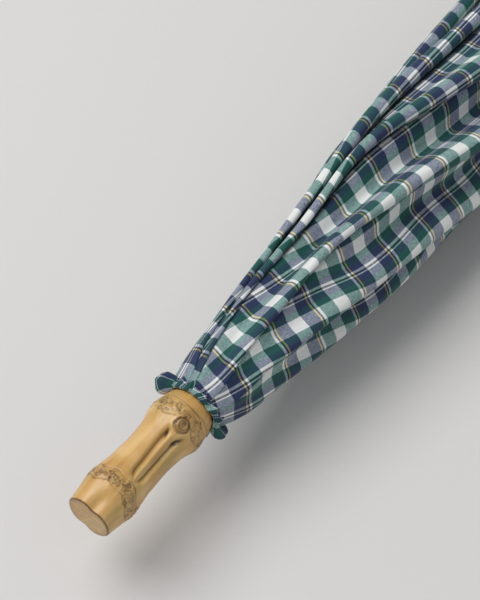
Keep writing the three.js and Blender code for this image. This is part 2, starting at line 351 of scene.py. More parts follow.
def solidify(made: bpy.types.Object, thickness: float) -> None:
    """Gives a sheet a wall, half on each side.

    Args:
        made: The sheet.
        thickness: The wall's thickness in millimetres.
    """
    wall = made.modifiers.new("wall", "SOLIDIFY")
    wall.thickness = thickness * MM
    wall.offset = 0.0


# ---------------------------------------------------------------- materials


Feed = bpy.types.NodeSocket | float | tuple
Setting = str | bool | float


class Graph:
    """A material's node tree, with short calls to add and join nodes."""

    def __init__(self, name: str) -> None:
        """Starts a material with a Principled shader.

        Args:
            name: The material's name.
        """
        self.material = bpy.data.materials.new(name)
        self.material.use_nodes = True
        self.tree = self.material.node_tree
        self.shader = self.tree.nodes["Principled BSDF"]

    def node(self, kind: str, inputs: dict | None = None, **settings: Setting) -> bpy.types.Node:
        """Adds a node.

        Args:
            kind: Its type, without the ShaderNode prefix.
            inputs: Socket name or number to a value or an output socket.
            settings: Properties of the node.

        Returns:
            The node.
        """
        made = self.tree.nodes.new("ShaderNode" + kind)
        for key, value in settings.items():
            setattr(made, key, value)
        for key, value in (inputs or {}).items():
            self.feed(made.inputs[key], value)
        return made

    def feed(self, socket: bpy.types.NodeSocket, value: Feed) -> None:
        """Joins an output to a socket, or sets the socket's value.

        Args:
            socket: The input.
            value: An output socket or a plain value.
        """
        if isinstance(value, bpy.types.NodeSocket):
            self.tree.links.new(value, socket)
        else:
            socket.default_value = value

    def maths(self, operation: str, a: Feed, b: Feed = 0.0, clamp: bool = False) -> Feed:
        """The result of one Math node."""
        return self.node("Math", {0: a, 1: b}, operation=operation, use_clamp=clamp).outputs[0]

    def mix(self, factor: Feed, a: Feed, b: Feed, blend: str = "MIX") -> Feed:
        """Mixes two colours.

        Args:
            factor: Share of b.
            a: The first colour.
            b: The second colour.
            blend: Blender's name of the way to mix.

        Returns:
            The colour's socket.
        """
        made = self.node("Mix", data_type="RGBA", blend_type=blend)
        for index, value in ((0, factor), (6, a), (7, b)):
            self.feed(made.inputs[index], value)
        return made.outputs[2]

    def ramp(self, value: Feed, stops: Sequence[tuple[float, tuple]], kind: str = "LINEAR") -> Feed:
        """A colour ramp over value.

        Args:
            value: The socket read.
            stops: (place, colour) pairs.
            kind: LINEAR, EASE or CONSTANT.

        Returns:
            The colour's socket.
        """
        made = self.node("ValToRGB", {0: value})
        ramp = made.color_ramp
        ramp.interpolation = kind
        while len(ramp.elements) < len(stops):
            ramp.elements.new(1.0)
        for element, (place, colour) in zip(ramp.elements, sorted(stops, key=lambda s: s[0])):
            element.position = place
            element.color = (*colour[:3], 1.0)
        return made.outputs[0]

    def noise(self, vector: Feed, scale: float, detail: float = 3.0) -> Feed:
        """A noise texture's factor."""
        inputs = {"Vector": vector, "Scale": scale, "Detail": detail}
        return self.node("TexNoise", inputs).outputs[0]

    def stretched(self, scale: tuple[float, float, float]) -> Feed:
        """Object coordinates scaled on each axis."""
        source = self.node("TexCoord").outputs["Object"]
        return self.node("Mapping", {"Vector": source, "Scale": scale}).outputs[0]

    def bump(self, height: Feed, strength: float, distance: float) -> None:
        """Feeds a height to the shader's normal; distance in millimetres."""
        inputs = {"Height": height, "Strength": strength, "Distance": distance * MM}
        self.feed(self.shader.inputs["Normal"], self.node("Bump", inputs).outputs[0])

    def set(self, **sockets: Feed) -> bpy.types.Material:
        """Sets the shader's own sockets.

        Args:
            sockets: Each socket's name, with _ for a space, and its value.

        Returns:
            The material.
        """
        for key, value in sockets.items():
            self.feed(self.shader.inputs[key.replace("_", " ")], value)
        return self.material


def srgb(red: int, green: int, blue: int) -> tuple[float, float, float, float]:
    """An 8-bit display colour as a linear one, by the usual sRGB curve.

    Args:
        red: 0 to 255.
        green: 0 to 255.
        blue: 0 to 255.

    Returns:
        Linear red, green and blue, and an alpha of 1.
    """
    channels = np.array([red, green, blue]) / 255
    linear = np.where(channels <= 0.04045, channels / 12.92, ((channels + 0.055) / 1.055) ** 2.4)
    return (*map(float, linear), 1.0)


@dataclass(frozen=True)
class Plaid:
    """Cotton plaid woven from dyed yarns, read from a map in millimetres along and across."""

    white: tuple = srgb(236, 237, 234)
    navy: tuple = srgb(32, 48, 86)
    green: tuple = srgb(14, 82, 76)
    dark: tuple = srgb(18, 28, 40)
    yellow: tuple = srgb(206, 184, 96)
    # Half repeat along the gore, from the middle of one white band to the next, which mirrors
    along: tuple = (
        ("white", 3.4),
        ("navy", 6.4),
        ("yellow", 0.8),
        ("dark", 0.95),
        ("white", 1.25),
        ("green", 6.9),
        ("white", 3.4),
    )
    # Whole repeat across the gore, which doesn't mirror
    across: tuple = (
        ("white", 6.4),
        ("green", 3.5),
        ("navy", 3.0),
        ("white", 1.3),
        ("dark", 1.1),
        ("white", 0.6),
        ("navy", 3.4),
        ("green", 3.0),
    )
    thread: float = 0.42
    depth: float = 0.42  # how much the yarns shade one another where two colours cross

    def stops(self, bands: tuple) -> tuple[list, float]:
        """Ramp stops for a list of bands.

        Args:
            bands: (colour, width) pairs.

        Returns:
            The stops and the whole width.
        """
        total = sum(width for _, width in bands)
        places = np.cumsum([0.0] + [width for _, width in bands[:-1]]) / total
        return [(float(p), getattr(self, c)) for p, (c, _) in zip(places, bands)], total

    @staticmethod
    def drawn(g: Graph, parts: bpy.types.bpy_prop_collection, along: float, across: float) -> Feed:
        """The map scaled by along and across, for noise drawn out along one set of threads."""
        inputs = {0: g.maths("MULTIPLY", parts[0], along), 1: g.maths("MULTIPLY", parts[1], across)}
        return g.node("CombineXYZ", inputs).outputs[0]

    def material(self) -> bpy.types.Material:
        """Builds the cloth: two banded yarn systems, a weave that shows one or the other, slubs.

        Returns:
            The material.
        """
        g = Graph("plaid cotton")
        parts = g.node("SeparateXYZ", {0: g.node("UVMap", uv_map="cloth").outputs[0]}).outputs
        slub = self.drawn(g, parts, 0.15, 1.0)
        drift = g.maths("MULTIPLY", g.maths("SUBTRACT", g.noise(slub, 0.35), 0.5), 0.5)
        u, v = g.maths("ADD", parts[0], drift), g.maths("ADD", parts[1], drift)
        stops_u, half = self.stops(self.along)
        stops_v, whole = self.stops(self.across)
        mirrored = g.maths("DIVIDE", g.maths("PINGPONG", u, half), half)
        weft = g.ramp(mirrored, stops_u, "CONSTANT")
        repeated = g.maths("FRACT", g.maths("DIVIDE", v, whole))
        warp = g.ramp(repeated, stops_v, "CONSTANT")
        turn = TAU / self.thread
        over_u = g.maths("SINE", g.maths("MULTIPLY", parts[0], turn))
        over_v = g.maths("SINE", g.maths("MULTIPLY", parts[1], turn))
        product = g.maths("MULTIPLY", over_u, over_v)
        hatch_u = g.noise(self.drawn(g, parts, 7.0, 0.5), 1.0, 2.0)
        hatch_v = g.noise(self.drawn(g, parts, 0.5, 7.0), 1.0, 2.0)
        hatch = g.maths("MULTIPLY", g.maths("SUBTRACT", hatch_u, hatch_v), 0.9)
        shown = g.maths("ADD", g.maths("MULTIPLY", product, 0.14), g.maths("ADD", hatch, 0.5), True)
        # Painted shade: the yarns' colours are mixed in a gamma space, so a weave of two colours comes out darker
        # than their plain mix, as if the yarns shade one another
        yarns_for_painted_shade = [g.node("Gamma", {0: yarn, 1: self.depth}).outputs[0] for yarn in (weft, warp)]
        cloth = g.node("Gamma", {0: g.mix(shown, *yarns_for_painted_shade), 1: 1 / self.depth}).outputs[0]
        shade = g.maths("ADD", g.maths("MULTIPLY", g.noise(slub, 1.6), 0.2), 0.88)
        grey = g.node("CombineXYZ", {0: shade, 1: shade, 2: shade}).outputs[0]
        cloth = g.mix(1.0, cloth, grey, "MULTIPLY")
        height = g.maths("ADD", g.maths("MULTIPLY", product, 0.5), hatch_u)
        g.bump(height, 0.35, 0.12)
        return g.set(Base_Color=cloth, Roughness=0.82, Sheen_Weight=0.12, Sheen_Roughness=0.5)


@dataclass(frozen=True)
class Bamboo:
    """Varnished bamboo: straw colour with long fibres, olive and orange clouds and brown stain."""

    name: str
    light: tuple = srgb(230, 190, 124)
    mid: tuple = srgb(210, 164, 94)
    deep: tuple = srgb(176, 124, 66)
    olive: tuple = srgb(176, 152, 84)
    scar: tuple = srgb(74, 46, 24)
    roughness: float = 0.36

    def material(self) -> bpy.types.Material:
        """Builds the finish; the stain attribute, where a piece has one, is the scars' brown.

        Returns:
            The material.
        """
        g = Graph(self.name)
        fibres = g.noise(g.stretched((18, 420, 420)), 1.0, 4.0)
        clouds = g.noise(g.stretched((60, 60, 60)), 1.0, 2.0)
        patches = g.noise(g.stretched((34, 70, 70)), 1.0, 3.0)
        tone = g.maths("ADD", g.maths("MULTIPLY", clouds, 0.6), g.maths("MULTIPLY", fibres, 0.4))
        base = g.ramp(tone, [(0.3, self.deep), (0.48, self.mid), (0.68, self.light)], "EASE")
        olive = g.ramp(patches, [(0.52, (0, 0, 0)), (0.72, (0.6, 0.6, 0.6))], "EASE")
        base = g.mix(olive, base, self.olive)
        stain = g.node("Attribute", attribute_name="stain").outputs["Fac"]
        rough = g.noise(g.stretched((900, 900, 900)), 1.0, 3.0)
        edge = g.maths("MULTIPLY", g.maths("SUBTRACT", rough, 0.5), 0.5)
        amount = g.maths("ADD", stain, g.maths("MULTIPLY", edge, stain), True)
        base = g.mix(amount, base, self.scar)
        specks = g.noise(g.stretched((520, 700, 700)), 1.0, 2.0)
        freckle = g.ramp(specks, [(0.7, (0, 0, 0)), (0.8, (0.5,) * 3)])
        base = g.mix(freckle, base, self.deep)
        g.bump(g.maths("ADD", fibres, g.maths("MULTIPLY", rough, stain)), 0.18, 0.25)
        return g.set(Base_Color=base, Roughness=self.roughness, Coat_Weight=0.25, Coat_Roughness=0.25)


@dataclass(frozen=True)
class Wood:
    """Stained and varnished straight-grained wood, for the stick."""

    dark: tuple = srgb(74, 42, 24)
    light: tuple = srgb(122, 76, 44)

    def material(self) -> bpy.types.Material:
        """Builds the grain as noise drawn out along the stick.

        Returns:
            The material.
        """
        g = Graph("stained wood")
        grain = g.noise(g.stretched((9, 700, 700)), 1.0, 5.0)
        pores = g.noise(g.stretched((40, 2200, 2200)), 1.0, 2.0)
        base = g.ramp(grain, [(0.35, self.dark), (0.65, self.light)], "EASE")
        base = g.mix(g.maths("MULTIPLY", pores, 0.25), base, self.dark)
        g.bump(g.maths("ADD", grain, pores), 0.12, 0.2)
        return g.set(Base_Color=base, Roughness=0.38, Coat_Weight=0.3, Coat_Roughness=0.2)


@dataclass(frozen=True)
class Hard:
    """Metal, enamel or moulding: one colour with fine unevenness in colour, gloss and surface."""

    name: str
    colour: tuple
    worn: tuple
    metallic: float
    roughness: float
    grain: tuple = (500, 500, 500)
    relief: float = 0.1

    def material(self) -> bpy.types.Material:
        """Builds the finish from two noises.

        Returns:
            The material.
        """
        g = Graph(self.name)
        fine = g.noise(g.stretched(self.grain), 1.0, 3.0)
        broad = g.noise(g.stretched((50, 50, 50)), 1.0, 2.0)
        wear = g.ramp(g.maths("MULTIPLY", fine, broad), [(0.25, (0, 0, 0)), (0.45, (0.6,) * 3)])
        base = g.mix(wear, self.colour, self.worn)
        rough = g.maths("ADD", g.maths("MULTIPLY", fine, 0.14), self.roughness - 0.07)
        g.bump(fine, self.relief, 0.1)
        return g.set(Base_Color=base, Metallic=self.metallic, Roughness=rough)


@dataclass(frozen=True)
class Backdrop:
    """Pale warm-grey studio surface."""

    colour: tuple = srgb(222, 220, 217)

    def material(self) -> bpy.types.Material:
        """Builds the paper-like surface.

        Returns:
            The material.
        """
        g = Graph("pale floor")
        mottle = g.noise(g.stretched((6, 6, 6)), 1.0, 3.0)
        tint = g.mix(g.maths("MULTIPLY", mottle, 0.06), self.colour, srgb(206, 204, 202))
        return g.set(Base_Color=tint, Roughness=0.9)


class Finishes:
    """Every material of the umbrella, made once."""

    def __init__(self) -> None:
        """Makes the materials."""
        self.cloth = Plaid().material()
        self.ferrule = Bamboo("root bamboo").material()
        self.handle = Bamboo("handle bamboo", light=srgb(214, 172, 104)).material()
        self.stick = Wood().material()
        self.enamel = Hard("black enamel", srgb(24, 25, 28), srgb(70, 70, 74), 0.4, 0.38).material()
        nickel = Hard("nickel plate", srgb(198, 200, 204), srgb(150, 150, 150), 1.0, 0.24)
        self.nickel = nickel.material()
        self.moulding = Hard(
            "black moulding", srgb(26, 27, 30), srgb(52, 52, 56), 0.0, 0.45, relief=0.2
        ).material()
        self.brass = Hard(
            "satin brass", srgb(196, 160, 92), srgb(150, 112, 60), 1.0, 0.3, (900, 90, 90)
        ).material()
        self.floor = Backdrop().material()


def dress(made: bpy.types.Object, material: bpy.types.Material) -> None:
    """Gives a piece one material."""
    made.data.materials.clear()
    made.data.materials.append(material)


def place(made: bpy.types.Object, body: str, slot: str, *nodes: str) -> None:
    """Rides a piece on a body and hides the CAD nodes that it stands for.

    Args:
        made: The piece.
        body: The body that it rides on.
        slot: The record's material slot; not used.
        nodes: The nodes that it stands for.
    """
    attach(made, body)
    if nodes:
        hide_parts(*nodes)
    LOG.info("%s: %d faces on %s", made.name, len(made.data.polygons), body)


# ---------------------------------------------------------------- ferrule


@dataclass
class Skin:
    """A bamboo surface: where each of its points is, and the height and stain gathered on it."""

    x: Array
    angle: Array
    radius: Array
    height: Array
    stain: Array

    @staticmethod
    def over(x: Array, angle: Array, radius: Array) -> "Skin":
        """A smooth, clean surface with the given places and plain radius."""
        return Skin(x, angle, radius, np.zeros_like(x), np.zeros_like(x))

    def across(self, azimuth: Array) -> Array:
        """Millimetres round the surface from an azimuth."""
        return self.radius * wrapped(self.angle - azimuth)

    def away(self, x: float, azimuth: float) -> Array:
        """Millimetres from the point at x and azimuth."""
        return np.hypot(self.x - x, self.across(azimuth))

    def swell(self, amount: Array) -> None:
        """Raises the surface, or lowers it where amount is negative."""
        self.height += amount

    def mark(self, amount: Array) -> None:
        """Stains the surface at least as much as amount, from 0 to 1."""
        self.stain = np.maximum(self.stain, amount)

    def shaped(self) -> Array:
        """Radius with the height added."""
        return self.radius + self.height


@dataclass(frozen=True)
class RootNode:
    """A node of the root: the middle of its band of scars, their scatter and their random seed."""

    centre: float
    scatter: float
    seed: int
    scars: int = 90


@dataclass
class Ferrule:
    """The bamboo root at the tip: cut end, two scarred nodes, a grooved waist and a domed shoulder.

    Lengths are millimetres from the cut end, and angles are azimuths about the stick.
    """

    facing: float = math.radians(123)  # of the bud scar
    groove: float = math.radians(131)  # of the middle of the waist's trough at its low end
    groove_lean: float = -0.1  # how far the trough has turned at the bud
    pinch: float = math.radians(108)  # of the dent in the cut end
    rows: int = 250
    sides: int = 288
    length: float = 68.5
    profile: tuple = (
        (0, 10.4), (3, 10.8), (6, 11.2), (9, 11.7), (12, 12.2), (16, 12.2), (20, 11.8), (25, 11.1),
        (31, 10.8), (38, 10.6), (43, 10.9), (48, 11.5), (50.5, 12.2), (53, 12.9), (56, 13.0),
        (58.5, 12.8), (61, 12.4), (63.5, 11.9), (66, 11.1), (69, 9.4),
    )
    unevenness: float = 0.012
    nodes: tuple = (RootNode(14.6, 3.0, 7), RootNode(56.2, 3.2, 19))
    band_half: float = 2.6
    # Where each edge of a node's band lies from its middle, and how deep its line is
    band_edges: tuple = ((-3.3, 0.3), (3.3, 0.25))
    shoulder_line: float = 61.2
    bud_at: float = 52.2
    bud_size: float = 3.9
    lid: float = 3.2  # radius of the bud's raised rim
    ring_pitch: float = 1.1
    # Side of the trough, place across it and size of each hollow below the bud
    hollows: tuple = ((-1.0, 3.1, 1.0), (1.0, 3.5, 1.45))
    hollow_at: float = 46.3
    # Place, turn from the bud and size of each broken-off rootlet
    rootlets: tuple = (
        (56.5, -1.15, 1.35), (54.0, 1.02, 1.2), (59.5, 0.42, 0.6), (17.2, 0.1, 1.35),
        (15.5, 1.15, 1.3), (13.8, -0.5, 0.9), (15.0, -0.9, 0.8), (57.5, -0.55, 0.7),
    )
    # Share of the cut end's radius at each ring of its flat face
    cut_rings: tuple = (0.94, 0.72, 0.45, 0.2)

    def scars(self) -> Array:
        """Root scars in two bands round the nodes, evenly spaced and then scattered.

        Returns:
            Rows of x, azimuth, radius and strength.
        """
        rows = []
        for node in self.nodes:
            rng = np.random.default_rng(node.seed)
            count = node.scars
            angle = (np.arange(count) + rng.uniform(-0.45, 0.45, count)) * TAU / count
            stray = rng.normal(0, node.scatter * 0.55, count)
            x = node.centre + self.band_shift(angle, node.seed) + stray
            radius = rng.uniform(0.35, 0.95, count)
            rows.append(np.stack([x, angle, radius, rng.uniform(0.45, 1.0, count)], 1))
        return np.vstack(rows)

    def band_shift(self, angle: Array, seed: int) -> Array:
        """How far a band of scars strays along the bamboo: a sine and a smooth random part."""
        return -1.2 * np.sin(angle - self.facing) + 1.7 * waves(angle, seed, 4, 2.0)

    def scar_relief(self, skin: Skin) -> None:
        """Each root scar is a low disc with a sunk, brown, slightly lobed rim.

        Args:
            skin: The ferrule's surface, which is changed.
        """
        for at_x, azimuth, size, strength in self.scars():
            d = skin.away(at_x, azimuth)
            rim = bell(d - size * (1 + 0.16 * np.sin(3 * skin.angle * at_x)), 0.3)
            skin.swell(strength * (0.14 * bell(d, 0.7 * size) - 0.16 * rim))
            skin.mark(strength * (0.75 * rim + 0.5 * bell(d, 0.4)))

    def band_relief(self, skin: Skin) -> None:
        """Each node's band is swollen, pitted and mottled, between two fine lines.

        Args:
            skin: The ferrule's surface, which is changed.
        """
        x, angle = skin.x, skin.angle
        for node in self.nodes:
            seed = node.seed
            off = x - (node.centre + self.band_shift(angle, seed))
            band = bell(off, self.band_half)
            pits = waves(angle * 3 + x * 0.9, seed + 1, 9, 3.0)
            pits = pits * waves(x * 2.3 - angle * 5, seed + 2, 7, 1.4)
            skin.swell(band * (0.28 + 0.14 * pits))
            skin.mark(band * np.clip(0.22 + 1.25 * pits, 0.05, 0.9))
            wander = 0.35 * waves(angle, seed + 5, 9, 5.0)
            broken = np.clip(0.65 + 0.5 * waves(angle, seed + 6, 6, 3.0), 0, 1)
            for edge, depth in self.band_edges:
                line = bell(off - edge - wander, 0.26)
                skin.swell(-depth * line)
                skin.mark(0.85 * line * broken)
        line = bell(x - self.shoulder_line - 0.3 * waves(angle, 3, 5), 0.22)
        skin.swell(-0.22 * line)
        skin.mark(0.55 * line)

    def trough(self, skin: Skin) -> Array:
        """Millimetres across the waist's trough, whose middle turns slowly towards the bud."""
        return skin.across(self.groove + self.groove_lean * smooth(skin.x, 22, 50))

    def waist_relief(self, skin: Skin) -> None:
        """The waist's trough: a floor with a ridge along it, and a valley at each side.

        The valleys part as the square root of a smoothstep, so the trough's low end is round.

        Args:
            skin: The ferrule's surface, which is changed.
        """
        x, across = skin.x, self.trough(skin)
        along = smooth(x, 19, 25) * (1 - smooth(x, 44, 50))
        opening = 2.9 * np.sqrt(smooth(x, 19.5, 26)) + 0.5 * smooth(x, 26, 46)
        beside = np.abs(across) - opening
        floor = 1 - smooth(np.abs(across), 2.2, 4.8)
        ridge = bell(across + 0.5, 0.9)
        skin.swell(-along * (1.25 * bell(beside, 1.1) + 0.85 * floor - 0.55 * ridge))
        skin.mark(0.5 * along * bell(beside, 0.6))
        skin.mark(0.35 * bell(across - 0.9, 0.22) * smooth(x, 27, 32) * (1 - smooth(x, 38, 43)))

    def end_relief(self, skin: Skin) -> None:
        """The cut end is pinched in front and behind, with a brown rim; the back is a little flat.

        Args:
            skin: The ferrule's surface, which is changed.
        """
        ends = 1 - smooth(skin.x, 2, 13)
        front, behind = skin.across(self.pinch), skin.across(self.pinch + math.pi)
        skin.swell(-ends * (1.9 * bell(front, 3.2) + 2.1 * bell(behind, 3.4)))
        skin.swell(-(1 - ends) * 0.5 * bell(behind, 5.0) * (1 - smooth(skin.x, 44, 52)))
        skin.mark(0.95 * bell(skin.x - 0.25, 0.3))

    def bud_relief(self, skin: Skin) -> None:
        """The bud scar: a low boss with a sunk lid line, growth rings and a dark, dented core.

        Args:
            skin: The ferrule's surface, which is changed.
        """
        x, angle = skin.x, skin.angle
        d = skin.away(self.bud_at, self.facing) + 0.14 * waves(angle * 9 + x * 1.7, 61, 3)
        skin.swell(1.1 * bell(d, self.bud_size, 4) - 0.9 * bell(d - self.lid, 0.5) - 0.5 * bell(d, 2.2))
        swirl = 2.5 * np.sin(angle - self.facing + 0.4 * x)
        rings = 0.5 + 0.5 * np.cos(d * TAU / self.ring_pitch + swirl)
        heart = 1 - smooth(d, 2.7, 3.3)
        core = np.clip(1 - skin.away(self.bud_at + 1.2, self.facing + 0.02) / 1.5, 0, 1)
        skin.swell(0.16 * heart * rings - 0.5 * core)
        skin.mark(heart * (0.4 + 0.35 * rings))
        skin.mark(0.95 * np.sqrt(core))
        upper = smooth(x + 2.0 * waves(angle * 6, 62, 3), 49, 54)
        skin.mark(bell(d - self.lid, 0.55) * (0.45 + 0.55 * upper))

    def hollow_relief(self, skin: Skin) -> None:
        """Two slanted, dark oval hollows where the trough's valleys meet the bud.

        Args:
            skin: The ferrule's surface, which is changed.
        """
        across, past = self.trough(skin), skin.x - self.hollow_at
        for side, reach, size in self.hollows:
            off = across - side * reach - 0.3 * side * (past - 0.3)
            tip = np.hypot(past / (1.9 * size), off / (0.8 * size))
            skin.swell(-0.75 * bell(tip, 1.0))
            skin.mark(0.95 * bell(tip, 1.0, 4))

    def rootlet_relief(self, skin: Skin) -> None:
        """Broken-off rootlets: ragged dents with a raised rim and faint rings in their stain.

        Args:
            skin: The ferrule's surface, which is changed.
        """
        for at_x, turn, size in self.rootlets:
            ragged = 1 + 0.2 * waves(skin.angle * 7 + skin.x, int(at_x * 10), 3)
            d = skin.away(at_x, self.facing + turn) * ragged
            skin.swell(0.3 * bell(d - 1.4 * size, 0.4) - 0.4 * bell(d, size))
            skin.mark(0.95 * bell(d, size, 4) * (0.7 + 0.3 * np.cos(d * 7)))

    def build(self, finishes: Finishes) -> None:
        """Makes the ferrule, with the flat face of its cut end.

        Args:
            finishes: The umbrella's materials.
        """
        x = np.linspace(0, self.length, self.rows)[:, None]
        angle = np.linspace(0, TAU, self.sides, endpoint=False)[None]
        x, angle = np.broadcast_arrays(x, angle)
        plain = curve(x, self.profile) * (1 + self.unevenness * waves(angle, 31, 3))
        skin = Skin.over(x, angle, plain)
        self.scar_relief(skin)
        self.band_relief(skin)
        self.waist_relief(skin)
        self.end_relief(skin)
        self.bud_relief(skin)
        self.hollow_relief(skin)
        self.rootlet_relief(skin)
        radius = skin.shaped() - 0.55 * (1 - smooth(x, 0.0, 0.7)) ** 2
        rings = len(self.cut_rings)
        cap_x = np.zeros((rings, self.sides))
        cap_x[0] = 0.02
        cap = around(cap_x, np.array(self.cut_rings)[:, None] * radius[:1], angle[:rings])[::-1]
        points = np.concatenate([cap, around(x, radius, angle)])
        stains = np.concatenate([np.zeros((rings, self.sides)), skin.stain])
        stains[rings - 1] = 0.25
        stain = {"stain": stains}
        made = surface("ferrule_root", points, around_v=True, ends=Ends.FLAT, attributes=stain)
        dress(outward(made), finishes.ferrule)
        place(made, "stick", "ferrule_bamboo", "ferrule")


# ---------------------------------------------------------------- folded canopy


@dataclass
class FoldedCanopy:
    """The cloth at rest: eight gores, each folded double and laid over the next one's face."""

    facts: FrameFacts
    # Azimuth in degrees of each fold's crest at each of the stations, in millimetres from the crown
    crest_stations: tuple = (-6, 20, 40, 80, 120, 170, 230, 476)
    crests: tuple = (
        (74, 52, 41, 40, 50, 53, 64, 104),
        (86, 68, 58, 62, 65, 85, 104, 144),
        (128, 112, 108, 103, 114, 133, 150, 190),
        (156, 150, 154, 162, 168, 186, 200, 236),
        (200, 198, 200, 206, 212, 224, 240, 280),
        (250, 248, 248, 254, 262, 274, 290, 328),
        (298, 294, 294, 300, 310, 318, 334, 372),
        (348, 342, 338, 342, 352, 356, 374, 416),
    )
    stations: int = 190
    columns: int = 64
    girth: tuple = (
        (-9, 12.0), (-6, 14.2), (2, 17.6), (22, 20.5), (42, 23.1), (62, 25.5), (82, 28.2),
        (102, 31.1), (122, 33.9), (145, 36.3), (175, 38.0), (220, 38.9), (260, 39.8),
        (330, 41.5), (400, 42.5), (476, 44),
    )
    depth: tuple = (
        (-9, 0.5), (-6, 1.2), (10, 3.0), (30, 5.2), (60, 8.4), (100, 12.6), (150, 17),
        (240, 18.5), (340, 14), (476, 8),
    )
    shares: tuple = (0.8, 0.3, 1.15, 0.75, 0.8, 0.9, 0.85, 0.9)  # of the valley, gore by gore
    fall: float = 0.5  # share of the depth that a face has lost by the next crest
    valley: float = 0.86
    wall: float = 0.35
    round_off: float = 2.2  # of the valley floors where they near the ribs
    start: float = -9.0  # first station
    past: float = 2.0  # how far the hem reaches past the ribs
    clearance: float = 3.0  # from a rib's centre line to the innermost cloth
    outer_reach: float = 1.85  # folds that the outer leaf reaches back under
    under_reach: float = 1.45  # folds that the inner leaf reaches back under
    crowding: float = 1.2  # power that crowds the columns towards the crest
    cap_columns: int = 11  # round the crest
    loft: float = 0.72  # of the roll at a crest, as a share of the step under a fold
    bulge: float = 0.6  # how far the roll stands out past its crest, as a share of its loft
    lean_towards: float = math.radians(25)
    press_from: float = 5.0  # height above the floor below which the cloth is pressed
    press_by: float = 4.6
    gathers_at: float = 14.5  # past the pivots
    gathered: float = 0.004
    # Middle of the white band, left of the crest, at stations from the crown
    band: tuple = (
        (-6, 17), (42, 9.4), (62, 6.2), (86, 2.0), (104, 3.0), (130, 7.5), (170, 12), (476, 20),
    )
    first_band: float = 41.0

    def crest(self, index: int, s: Array) -> Array:
        """Azimuth of a crest: a curve through its stations and a slight random wander.

        Args:
            index: The crest's number, any integer.
            s: Millimetres from the crown.

        Returns:
            The azimuth.
        """
        turns, k = divmod(index, FOLDS)
        base = curve(s, tuple(zip(self.crest_stations, self.crests[k])))
        return np.radians(base + 1.2 * waves(s / 42, 40 + k, 4)) + TAU * turns

    def phase(self, index: int, s: Array, back: Array) -> Array:
        """Azimuth at which the fold number is index - back, in straight lines between the crests.

        Args:
            index: The crest's number.
            s: Millimetres from the crown.
            back: Folds behind the crest.

        Returns:
            The azimuth.
        """
        whole = np.floor(back).astype(int)
        part = back - whole
        azimuth = np.zeros(np.broadcast(s, back).shape)
        for step in range(int(whole.max()) + 1):
            low, high = self.crest(index - step - 1, s), self.crest(index - step, s)
            azimuth = azimuth + (whole == step) * (high + (low - high) * part)
        return azimuth

    def envelope(self, s: Array, azimuth: Array) -> Array:
        """Radius of the bundle: its girth, out of round towards one side farther from the crown.

        Args:
            s: Millimetres from the crown.
            azimuth: About the stick.

        Returns:
            The radius.
        """
        lean = 0.095 * smooth(s, 90, 150) * (1 - 0.5 * smooth(s, 260, 420)) - 0.04 * smooth(s, 0, 60)
        lean = lean + 0.04 * smooth(s, 60, 100)
        rough = 0.02 * waves(azimuth, 11, 3) * smooth(s, 10, 80)
        return curve(s, self.girth) * (1 + lean * np.cos(azimuth - self.lean_towards) + rough)

    def below(self, index: int, s: Array, back: Array) -> Array:
        """Depth below the envelope, back folds behind crest number index.

        With n whole folds and f the rest, it is depth * (fall * (n + f ** 1.5) + valley * share *
        (1 - cos(2 pi f)) / 2): a round hump by each crest, a valley before the next one, and a
        step down under each fold.

        Args:
            index: The crest's number.
            s: Millimetres from the crown.
            back: Folds behind the crest.

        Returns:
            The depth.
        """
        whole = np.floor(back)
        part = back - whole
        share = np.array(self.shares)[(index - whole.astype(int)) % FOLDS]
        face = self.fall * (whole + part**1.5)
        return curve(s, self.depth) * (face + self.valley * share * (1 - np.cos(TAU * part)) / 2)

    def gore(self, index: int) -> tuple[Array, Array]:
        """Points and map of one folded gore.

        A column starts inside the bundle, climbs the outer leaf to the crest, turns round it and
        goes back inside along the inner leaf.

        Args:
            index: The gore's number, from 0.

        Returns:
            (stations, columns, 3) points in metres and (stations, columns, 2) map in millimetres.
        """
        s = np.linspace(self.start, self.facts.rib_length + self.past, self.stations)[:, None]
        inner = self.facts.rib_radius(s) + self.clearance
        t = np.linspace(1, 0, self.columns)[None] ** self.crowding
        outer = self.outer_reach * t + 0 * s
        under = self.under_reach * t[:, ::-1] + 0 * s
        room = self.fall * curve(s, self.depth)
        loft = room * (self.loft + 0.12 * waves(s / 40, 60 + index, 3))
        azimuth_out = self.phase(index, s, outer)
        r_out = self.envelope(s, azimuth_out) - self.below(index, s, outer)
        azimuth_in = self.phase(index, s, under)
        closing = 1 - smooth(under, 0.1, 0.85)
        gap = 0.3 * room
        r_in = self.envelope(s, azimuth_in) - self.below(index, s, under)
        r_in = r_in - gap - (loft - gap) * closing
        turn = np.linspace(0, math.pi, self.cap_columns + 2)[None, 1:-1]
        crest = self.crest(index, s)
        r_cap = self.envelope(s, crest) - loft / 2 * (1 - np.cos(turn))
        a_cap = crest + self.bulge * loft * np.sin(turn) / r_cap
        radius = np.concatenate([r_out, r_cap, r_in], 1)
        azimuth = np.concatenate([azimuth_out, a_cap, azimuth_in], 1)
        radius = inner + self.round_off * np.logaddexp(0, (radius - inner) / self.round_off)
        points = around(np.broadcast_to(s + self.facts.pivot_x, radius.shape), radius, azimuth)
        points = self.settle(points)
        step = np.linalg.norm(np.diff(points, axis=1), axis=2) / MM
        across = np.concatenate([np.zeros((self.stations, 1)), np.cumsum(step, 1)], 1)
        middle = self.columns + (self.cap_columns + 1) // 2
        across -= across[:, middle][:, None]
        return points, self.pattern(s, across, index)

    def settle(self, points: Array) -> Array:
        """Presses the lowest cloth towards the floor: below a height, depth goes as its tanh.

        Args:
            points: Points in metres, which are changed.

        Returns:
            The points.
        """
        z = points[..., 2] / MM
        near = self.facts.floor_z + self.press_from
        pressed = near - self.press_by * np.tanh((near - z) / self.press_by)
        points[..., 2] = np.where(z < near, pressed, z) * MM
        return points

